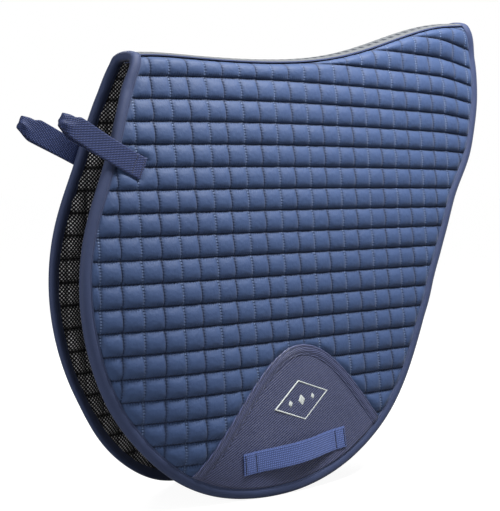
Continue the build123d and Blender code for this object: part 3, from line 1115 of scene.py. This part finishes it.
def patch_panel():
    """The twill inside the hem, down to the binding."""
    line = resample(PATCH_EDGE, HEM_STEP)
    line = line - line_normals(line) * (HEM - 1.5)
    deep = inside_by(line[:, 0], line[:, 1])
    line = resample(line[deep > TUCK], 4.0)
    inner_edge = OUTLINE + OUTLINE_IN * TUCK
    first = np.linalg.norm(inner_edge - line[0], axis=1).argmin()
    last = np.linalg.norm(inner_edge - line[-1], axis=1).argmin()
    foot = inner_edge[first:last + 1]
    count = 90
    spread = np.linspace(0, 1, count)

    def evenly(path):
        path = resample(path, 1.0)
        return read_off(np.linspace(0, len(path) - 1, count), np.arange(len(path)), path)

    top, bottom = evenly(line), evenly(foot)
    share = np.concatenate([np.linspace(0, 0.9, 50, endpoint=False), np.linspace(0.9, 1, 22)])[None, :, None]
    grid = top[:, None] * (1 - share) + bottom[:, None] * share
    x, q = grid[..., 0], grid[..., 1]
    swell = 0.25 * np.sin(x / 31.0 + q / 47.0) + 0.2 * np.sin(x / 17.0 - q / 23.0)
    edge = smooth(np.minimum(spread, 1 - spread)[:, None] * 12) * smooth(share[..., 0] * 8)
    return laid(x, q, tucked(-0.75 - swell * edge, inside_by(x, q)), UNDER_PATCH + 0.05, pair(x, q))


def patch_stitches():
    parts = []
    line = resample(PATCH_EDGE, HEM_STEP)
    for across in HEM_STITCHED:
        x, q = (line - line_normals(line) * across).T
        deep = inside_by(x, q)
        shown = deep > BIND_WIDTH + 1
        parts.append(sewn(x[shown], q[shown], tucked(-1.0, deep[shown]), HEM_STITCH))
    return joined(parts)


both_sides("girth_patch_twill", joined([patch_panel(), patch_hem()]), TWILL,
           ["girth_patch"], hang_on_flap)
both_sides("girth_patch_stitching", patch_stitches(), NAVY_THREAD, [], hang_on_flap)


# --- girth loop ---

LOOP_MIDDLE = box_centre("near_girth_loop")
LOOP_TILT = math.radians(4.3)
LOOP_LENGTH = 160.0
LOOP_SEWN = 17.0
LOOP_STAND_OFF = 8.0
WEBBING = 1.6


def turned_about(middle, tilt, u, v):
    """x and height of a point given along and across a piece that is tilted on the panel."""
    x = middle[0] + u * math.cos(tilt) - v * math.sin(tilt)
    z = middle[2] + u * math.sin(tilt) + v * math.cos(tilt)
    return x, z


def loop_rise(u):
    free = LOOP_LENGTH / 2 - LOOP_SEWN
    return LOOP_STAND_OFF * np.maximum(0, 1 - (u / free) ** 2) ** 2


def loop_inset(u):
    from_seam = np.abs(np.abs(u) - (LOOP_LENGTH / 2 - LOOP_SEWN))
    pinch = 0.5 * np.exp(-(from_seam / 1.6) ** 2)
    return -1.1 - WEBBING - loop_rise(u) + pinch


def girth_loop():
    u = np.linspace(-LOOP_LENGTH / 2, LOOP_LENGTH / 2, 257)
    v = np.linspace(-STRAP_WIDTH / 2, STRAP_WIDTH / 2, 41)
    u, v = np.meshgrid(u, v, indexing="ij")
    rib = np.cos(2 * math.pi * u / WEBBING_PITCH)
    waffle = rib * np.cos(2 * math.pi * v / WEBBING_PITCH)
    scallop = 1 + 0.018 * rib * (np.abs(v) / (STRAP_WIDTH / 2)) ** 4
    x, z = turned_about(LOOP_MIDDLE, LOOP_TILT, u, v * scallop)
    edge = smooth((STRAP_WIDTH / 2 - np.abs(v)) / 0.9) * smooth((LOOP_LENGTH / 2 - np.abs(u)) / 0.9)
    middle = loop_inset(u) + WEBBING / 2
    half = 0.45 + (WEBBING / 2 - 0.45) * edge
    return laid(x, z, middle - half - 0.12 * waffle * edge, middle + half, pair(u, v))


def loop_tacks():
    """Two double rows of stitches across each sewn end."""
    parts = []
    v = np.linspace(-11.0, 11.0, 40)
    for end in (-1, 1):
        for from_end in (2.2, LOOP_SEWN):
            u = end * (LOOP_LENGTH / 2 - from_end)
            for offset in (-0.35, 0.35):
                x, z = turned_about(LOOP_MIDDLE, LOOP_TILT, u + offset, v)
                parts.append(sewn(x, z, loop_inset(u) - 0.1 + 0 * v, LOOP_STITCH))
    return joined(parts)


both_sides("girth_loop_webbing", girth_loop(), WAFFLE, ["girth_loop"], hang_on_flap)
both_sides("girth_loop_tacks", loop_tacks(), NAVY_THREAD,
           ["girth_loop_bar_tacks"], hang_on_flap)


# --- emblem ---

EMBLEM_MIDDLE = box_centre("near_patch_emblem")
EMBLEM_TILT = math.radians(9.0)
EMBLEM_HALF = (44.0, 24.0)
EMBLEM_TO_SIDE = 0.877 * EMBLEM_HALF[1]  # from its middle, square to a side
EMBLEM_BAND = 1.7
EMBLEM_LOZENGES = (-18.0, 0.0, 18.0)


def satin_ring():
    """A plain lozenge frame in satin stitch."""
    corners = np.array([(1, 0), (0, 1), (-1, 0), (0, -1), (1, 0)], float)
    steps = np.concatenate([
        corners[i] + (corners[i + 1] - corners[i]) * np.linspace(0, 1, 24, endpoint=False)[:, None]
        for i in range(4)] + [corners[-1:]])
    shares = np.linspace(0, 1, 7)
    shrink = 1 - shares * EMBLEM_BAND / EMBLEM_TO_SIDE
    u = steps[:, None, 0] * EMBLEM_HALF[0] * shrink[None]
    v = steps[:, None, 1] * EMBLEM_HALF[1] * shrink[None]
    x, z = turned_about(EMBLEM_MIDDLE, EMBLEM_TILT, u, v)
    dome = 0.75 * np.sqrt(np.maximum(0, 1 - (2 * shares - 1) ** 2))
    uv = pair(lengths_along(steps * np.array(EMBLEM_HALF))[:, None], shares[None])
    return laid(x, z, -0.75 - dome[None], -0.3, uv)


def satin_lozenge(middle, half_u, half_v):
    """A small filled lozenge, domed like satin stitch."""
    a, b = np.meshgrid(np.linspace(-1, 1, 15), np.linspace(-1, 1, 15), indexing="ij")
    u = middle + (a - b) / 2 * half_u
    v = (a + b) / 2 * half_v
    x, z = turned_about(EMBLEM_MIDDLE, EMBLEM_TILT, u, v)
    dome = 0.8 * np.sqrt(np.maximum(0, (1 - np.abs(a) ** 3) * (1 - np.abs(b) ** 3)))
    return laid(x, z, -0.7 - dome, -0.3, pair(u, v * 0.3))


def emblem():
    parts = [satin_ring()]
    for middle in EMBLEM_LOZENGES:
        size = 1 - abs(middle) / EMBLEM_HALF[0]
        parts.append(satin_lozenge(middle, 6.0 * size, 7.5 * size))
    return joined(parts)


both_sides("patch_emblem_satin", emblem(), PALE_THREAD, ["patch_emblem"], hang_on_flap)


# --- billet loop ---

STRAP_END = 117.5
STRAP_TIP = 4.2  # how far the fold at the tip reaches


def strap_centreline():
    """Distance along, points and outward normals down the middle of the folded strap."""
    along = np.linspace(-1.0, 125.0, 253)
    turned = smooth((along - 8.0) / 12.0)[:, None]
    heading = unit(TAB_ALONG * (1 - turned) + STRAP_ALONG * turned)
    step = along[1] - along[0]
    points = np.concatenate([[np.zeros(3)], np.cumsum((heading[1:] + heading[:-1]) / 2 * step, axis=0)])
    at_hinge = read_off(TAB_HINGE, along, points)
    normals = np.array([out_of_panel(h) for h in heading])
    return along, points - at_hinge + HINGE, normals


def billet_strap():
    """One strap folded double: out along the outer ply, round the tip, back along the inner."""
    along, middle, normals = strap_centreline()
    flat_end = STRAP_END - STRAP_TIP
    straight = np.linspace(0, flat_end, 120)
    bend = np.linspace(-math.pi / 2, math.pi / 2, 16)[1:-1]

    def opening(a):
        """Half the space between the two plies' middles."""
        return 0.85 + 3.4 * smooth((a - 50.0) / 50.0)

    swell = opening(flat_end)
    a = np.concatenate([straight, flat_end + STRAP_TIP * np.cos(bend), straight[::-1]])
    n = np.concatenate([opening(straight), -swell * np.sin(bend), -opening(straight[::-1])])
    path = np.stack([a, n], axis=1)
    length = lengths_along(path)
    path_heading = unit(np.gradient(path, axis=0))
    path_out = np.stack([-path_heading[:, 1], path_heading[:, 0]], axis=1)
    fold = smooth(1 - np.abs(length - length[-1] / 2) / 24.0)
    v = np.linspace(-1, 1, 31)
    skins = []
    edge = smooth((1 - np.abs(v)) / 0.07)
    upper = smooth(v * 1.4)
    for level in (1, -1):
        half = (0.42 + 0.38 * edge)[None] * level
        pinch = 1 - (0.50 - 0.12 * upper[None]) * fold[:, None]
        crease = fold[:, None] * np.sin(v[None] * 4.0 + length[:, None] / 7.0) * 1.2
        at_a = a[:, None] + path_out[:, None, 0] * half
        at_n = n[:, None] + path_out[:, None, 1] * half
        at_n = at_n * (1 - 0.45 * fold[:, None] * np.abs(v[None]) ** 2) + crease * (1 - np.abs(v[None]))
        notch = 1.6 * np.exp(-((np.abs(length[:, None] - length[-1] / 2) - 16.0) / 4.0) ** 2) * upper[None]
        across = v[None] * STRAP_WIDTH / 2 * pinch - notch
        base = read_off(at_a, along, middle)
        out = read_off(at_a, along, normals)
        skins.append(base + out * at_n[..., None] + ACROSS * across[..., None])
    return closed_sheet(skins[0], skins[1], pair(length[:, None], v[None] * STRAP_WIDTH / 2))


def tab_tacks():
    """Two double rows of stitches across the strap's sewn end."""
    along, middle, normals = strap_centreline()
    parts = []
    v = np.linspace(-11.3, 11.3, 30)
    for at in (2.0, 12.6):
        point = read_off(at, along, middle)
        out = read_off(at, along, normals)
        for offset in (-0.3, 0.3):
            points = point + TAB_ALONG * offset + out * 1.65 + ACROSS * v[:, None]
            parts.append(stitches(points, np.broadcast_to(out, points.shape), STRAP_STITCH))
    return joined(parts)


def hang_billet(piece, side):
    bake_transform(piece)


both_sides("billet_strap", billet_strap(), WEBBING_CLOTH,
           ["billet_loop_tab", "billet_loop"], hang_billet)
both_sides("billet_strap_tacks", tab_tacks(), NAVY_THREAD,
           ["billet_loop_bar_tacks"], hang_on_flap)


# === the scene ===

def only_for_camera(tree, seen, unseen):
    """A value that is seen for camera rays and unseen for all others."""
    path = tree.nodes.new("ShaderNodeLightPath")
    mix = tree.nodes.new("ShaderNodeMath")
    mix.operation = "MULTIPLY_ADD"
    tree.links.new(path.outputs["Is Camera Ray"], mix.inputs[0])
    mix.inputs[1].default_value = seen - unseen
    mix.inputs[2].default_value = unseen
    return mix.outputs[0]


FLOOR = -0.0014  # the binding's underside


def studio_floor():
    f = Finish("floor_paper", 0.9, 0.0, 0.0)
    f.colour(f.mottled(300.0, (0.22, 0.22, 0.22), (0.24, 0.24, 0.24)))
    f.relief(f.noise(3.0), 0.05)
    material = f.done()
    f.shader.inputs["Emission Color"].default_value = (1.0, 1.0, 1.0, 1.0)
    f.put(f.shader.inputs["Emission Strength"], only_for_camera(material.node_tree, 0.92, 0.0))
    mesh = bpy.data.meshes.new("floor")
    size = 20.0
    corners = [(-size, -size, FLOOR), (size, -size, FLOOR), (size, size, FLOOR), (-size, size, FLOOR)]
    mesh.from_pydata(corners, [], [(0, 1, 2, 3)])
    mesh.materials.append(material)
    add_object("floor", mesh)


LIGHTS = (  # name, place, target, size, power
    ("key", (0.21, -0.43, 1.30), (0.0, -0.05, 0.35), 0.45, 29.0),
    ("front", (-1.7, -0.3, 0.5), (-0.2, 0, 0.3), 0.6, 11.0),
    ("back", (0.3, 1.5, 1.0), (0.0, 0.05, 0.35), 0.8, 14.0),
)


def area_light(name, place_m, target_m, size, power):
    light = bpy.data.lights.new(name, "AREA")
    light.shape = "DISK"
    light.size = size
    light.energy = power
    lamp = add_object(name, light)
    lamp.location = place_m
    aim = Vector(target_m) - Vector(place_m)
    lamp.rotation_euler = aim.to_track_quat("-Z", "Y").to_euler()


def light_the_scene():
    """A white room for the camera; for light, a soft sky that is darker below."""
    world = bpy.data.worlds.new("studio")
    bpy.context.scene.world = world
    world.use_nodes = True
    tree = world.node_tree
    background = tree.nodes["Background"]
    coords = tree.nodes.new("ShaderNodeTexCoord")
    split = tree.nodes.new("ShaderNodeSeparateXYZ")
    tree.links.new(coords.outputs["Generated"], split.inputs[0])
    sky = tree.nodes.new("ShaderNodeMapRange")
    tree.links.new(split.outputs[2], sky.inputs["Value"])
    for limit, value in (("From Min", -0.3), ("From Max", 0.9), ("To Min", 0.10), ("To Max", 0.40)):
        sky.inputs[limit].default_value = value
    path = tree.nodes.new("ShaderNodeLightPath")
    mix = tree.nodes.new("ShaderNodeMix")
    tree.links.new(path.outputs["Is Camera Ray"], mix.inputs[0])
    tree.links.new(sky.outputs["Result"], mix.inputs[2])
    mix.inputs[3].default_value = 1.0
    tree.links.new(mix.outputs[0], background.inputs["Strength"])
    background.inputs["Color"].default_value = (1.0, 1.0, 1.0, 1.0)
    for light in LIGHTS:
        area_light(*light)


LENS_MM = 87.36
EYE = (-1.0342, -1.1050, 0.3646)
LOOKING = (0.66409, 0.74512, -0.06155)


def set_camera():
    camera = bpy.data.cameras.new("camera")
    camera.lens = LENS_MM
    camera.sensor_width = 36.0
    camera.clip_start = 0.01
    eye = add_object("camera", camera)
    eye.location = EYE
    eye.rotation_euler = Vector(LOOKING).to_track_quat("-Z", "Y").to_euler()
    bpy.context.scene.camera = eye


studio_floor()
light_the_scene()
set_camera()
bpy.context.scene.view_settings.view_transform = "Standard"
